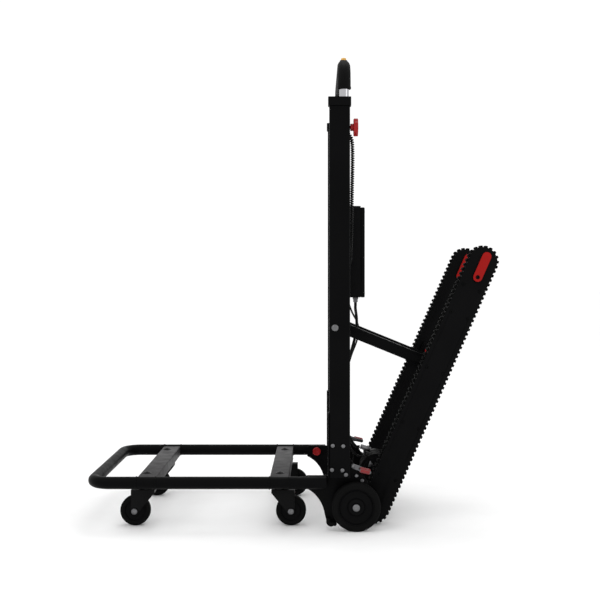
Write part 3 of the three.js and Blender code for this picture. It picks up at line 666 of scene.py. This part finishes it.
def leads():
    """The curly lead as a wound wire, and the two plain cables to the motor."""
    _, length = along_curve([at(*p) for p in CURLY_ROUTE], 10)
    pitch, coil, wire, per_turn = 6.0, 3.55, 1.9, 12
    count = int(length / MM / pitch * per_turn)
    line, _ = along_curve([at(*p) for p in CURLY_ROUTE], count)
    side = Vector((0, 0, 1))
    helix = []
    for i, point in enumerate(line):
        ahead = (line[min(i + 1, count - 1)] - line[max(i - 1, 0)]).normalized()
        side = (side - ahead * side.dot(ahead)).normalized()
        other = ahead.cross(side)
        turn = 2 * math.pi * i / per_turn
        fade = min(1.0, i / 8, (count - 1 - i) / 8)
        helix.append(point + (side * math.cos(turn) + other * math.sin(turn)) * coil * MM * fade)
    keep(pipe(helix, wire, 6), "curly_cord", "frame", "cable", "curly_lead")
    socket = turned([(2, 0), (6, 0), (6, 3), (4.5, 7), (2, 7)], at(-14, -95.1, 697), "Y", 24, True)
    keep(soften(socket, 0.3), "box_socket", "frame", "black_plastic")
    for name, route, radius, node in (("motor_lead", MOTOR_ROUTE, 4.0, "motor_cable"),
                                      ("sensor_lead", SENSOR_ROUTE, 2.5, "sensor_cable")):
        points, _ = along_curve([at(*p) for p in route], 90)
        keep(pipe(points, radius, 12), name, "frame", "cable", node)


def drive():
    """The finned motor on its gearbox, its cable inlet, and the drive shaft's sprockets."""
    fins = [(0, -100), (34, -100), (37, -98.5), (38, -96), (38, -94)]
    for y in range(-92, -34, 6):
        fins += [(46, y), (46, y + 3), (43.2, y + 3.4), (43.2, y + 5.6)]
    fins += [(46, -31), (46, -25.3), (0, -25.3)]
    can = turned(fins, at(MOTOR[0], 0, MOTOR[1]), "Y", 72)
    keep(soften(can, 0), "motor_can", "frame", "black_alloy", "motor")
    keep(refined("gearbox_housing", 2.2, 3), "gearbox", "frame", "black_alloy", "gearbox_housing")
    ring = [at(MOTOR[0] + 33 * math.cos(turn), 25.0, MOTOR[1] + 33 * math.sin(turn))
            for turn in (math.radians(a) for a in range(0, 360, 60))]
    bolts("gearbox_bolts", "frame", "steel", 3.6, 2.6, ring)
    keep(refined("motor_gland", 0.8, 2), "motor_inlet", "frame", "bolt_steel", "motor_gland")
    tab = turned([(0, 0), (10.5, 0), (10.5, 2.4), (0, 2.4)], Vector(), "Y", 3, True)
    tab.data.transform(Matrix.Translation(at(45, -100, 146))
                       @ Matrix.Rotation(math.radians(18), 4, "Y"))
    keep(soften(tab, 0.5), "motor_tab", "frame", "bolt_steel")
    keep(refined("drive_shaft", 0.6, 2), "drive_axle", "drive", "steel", "drive_shaft")
    for side in SIDES:
        keep(refined("drive_sprocket_" + side, 1.0, 2), "sprocket_" + side, "drive",
             "black_plastic", "drive_sprocket_" + side)
        keep(refined("idler_pulley_" + side, 1.0, 2), "idler_" + side, "idler_" + side,
             "black_plastic", "idler_pulley_" + side)


# ------------------------------------------------------------------ tracks
def belt_loop(radius, width, thick):
    """The belt without its lugs, upright over its drive shaft."""
    clear_selection()
    bpy.ops.mesh.primitive_cylinder_add(vertices=96, radius=radius * MM, depth=width * MM,
                                        end_fill_type="NOTHING", rotation=(math.radians(90), 0, 0))
    loop = settle(bpy.context.object)
    for vertex in loop.data.vertices:
        if vertex.co.z > 1e-5:
            vertex.co.z += TRACK_LENGTH * MM
    wall = loop.modifiers.new("wall", "SOLIDIFY")
    wall.thickness, wall.offset = thick * MM, -1
    bpy.ops.object.modifier_apply(modifier=wall.name)
    return soften(loop, 0, angle=30)


def lug(width, height, foot, top):
    """One tapered lug of a belt, standing up from a little below the belt's face."""
    clear_selection()
    bpy.ops.mesh.primitive_cube_add(size=1)
    block = bpy.context.object
    for vertex in block.data.vertices:
        up = vertex.co.z > 0
        across, wide = (top, width * 0.97) if up else (foot, width)
        vertex.co = Vector((across * vertex.co.x, wide * vertex.co.y, height if up else -0.6)) * MM
    return soften(block, 0.7, 2, 30)


def lug_places(radius, pitch):
    """Where the lugs stand round the loop, each turned to point outwards."""
    straight, half = TRACK_LENGTH, math.pi * radius
    around = 2 * (straight + half)
    count = round(around / pitch)
    for i in range(count):
        s = around * i / count
        if s < straight:
            x, z, turn = radius, s, 90
        elif s < straight + half:
            a = (s - straight) / radius
            x, z = radius * math.cos(a), straight + radius * math.sin(a)
            turn = 90 - math.degrees(a)
        elif s < 2 * straight + half:
            x, z, turn = -radius, 2 * straight + half - s, -90
        else:
            a = math.pi + (s - 2 * straight - half) / radius
            x, z, turn = radius * math.cos(a), radius * math.sin(a), 90 - math.degrees(a)
        yield (Matrix.Translation(Vector((x, 0, z)) * MM)
               @ Matrix.Rotation(math.radians(turn), 4, "Y"))


def tracks():
    """Both tracks: belt with its lugs, frame, red link plate and bolts."""
    lean = Matrix.Rotation(LEAN, 4, "Y")
    base = TRACK_R - 5.0
    for side, way in SIDES.items():
        stand = Matrix.Translation(at(SHAFT[0], way * TRACK_Y, SHAFT[1])) @ lean
        loop = belt_loop(base, 31.6, 3.6)
        studs = copies(lug(31.2, 4.9, 8.6, 6.4), list(lug_places(base, 13)))
        clear_selection()
        studs.select_set(True)
        loop.select_set(True)
        bpy.context.view_layer.objects.active = loop
        bpy.ops.object.join()
        loop.data.transform(stand)
        keep(loop, "tread_belt_" + side, "tracks", "tread_rubber", "track_belt_" + side)
        keep(refined("track_frame_" + side, 0.8, 2), "track_plates_" + side, "tracks",
             "black_alloy", "track_frame_" + side)
        keep(refined("track_link_" + side, 1.0, 3), "red_link_" + side, "tracks", "red_paint",
             "track_link_" + side)
        outer = way * TRACK_FACE
        rows = [on_track(across, outer, along)
                for along in (90, 240, 400, 560, 640) for across in (-24, 24)]
        bolts("track_bolts_" + side, "tracks", "black_alloy", 4.6, 2.6, rows, flip=way < 0)
        bolts("link_bolt_" + side, "tracks", "black_plastic", 5.4, 3.0,
              [on_track(3, way * (TRACK_FACE + 4.3), 672)], flip=way < 0)
        rib = rounded_block(Vector((-27, 0, 150)) * MM, Vector((-26, way * 0.9, 560)) * MM, 0.2, 1)
        ribs = copies(rib, [Matrix.Translation(Vector((dx, 0, 0)) * MM) for dx in (0, 53)])
        ribs.data.transform(Matrix.Translation(at(SHAFT[0], outer, SHAFT[1])) @ lean)
        keep(ribs, "plate_ribs_" + side, "tracks", "black_alloy")


for build in (posts, strut, handle, clamp_knob, platform, casters, wheels, control_box, leads,
              drive, tracks):
    build()

bpy.context.view_layer.update()
